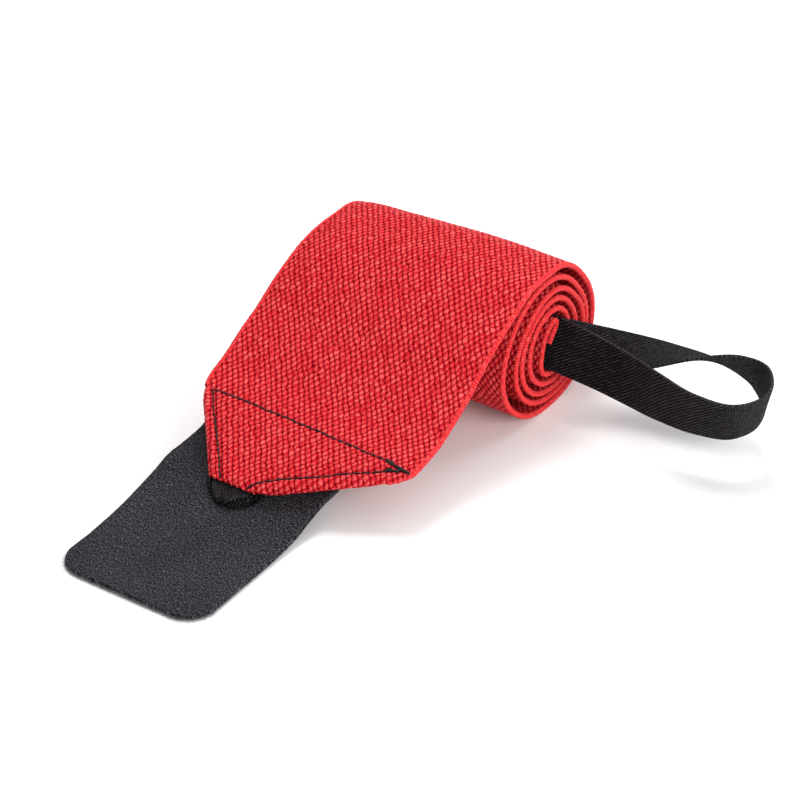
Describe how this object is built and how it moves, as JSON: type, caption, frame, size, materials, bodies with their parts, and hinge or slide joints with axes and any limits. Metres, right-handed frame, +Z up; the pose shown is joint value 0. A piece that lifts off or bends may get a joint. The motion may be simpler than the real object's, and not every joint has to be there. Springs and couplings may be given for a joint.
{
  "type": "wrist wrap",
  "caption": "Woven elastic wrist wrap rolled into a loose coil, with a pointed end on a hook tab and a webbing thumb loop out of the coil's core.",
  "frame": {"origin": "middle of the bounding box, at the surface that the wrap lies on", "axes": "+X along the coil to the thumb loop's end, +Y from the tip to the coil, +Z up"},
  "size_m": [0.1456, 0.173, 0.048],
  "materials": {
    "red_elastic": "woven elastic, matt",
    "black_plush": "brushed plush over hooks",
    "black_webbing": "twill webbing"
  },
  "bodies": {
    "root": {"elastic_band": "red_elastic", "hook_tab": "black_plush", "tip_webbing": "black_webbing", "thumb_loop": "black_webbing"}
  },
  "joints": []
}
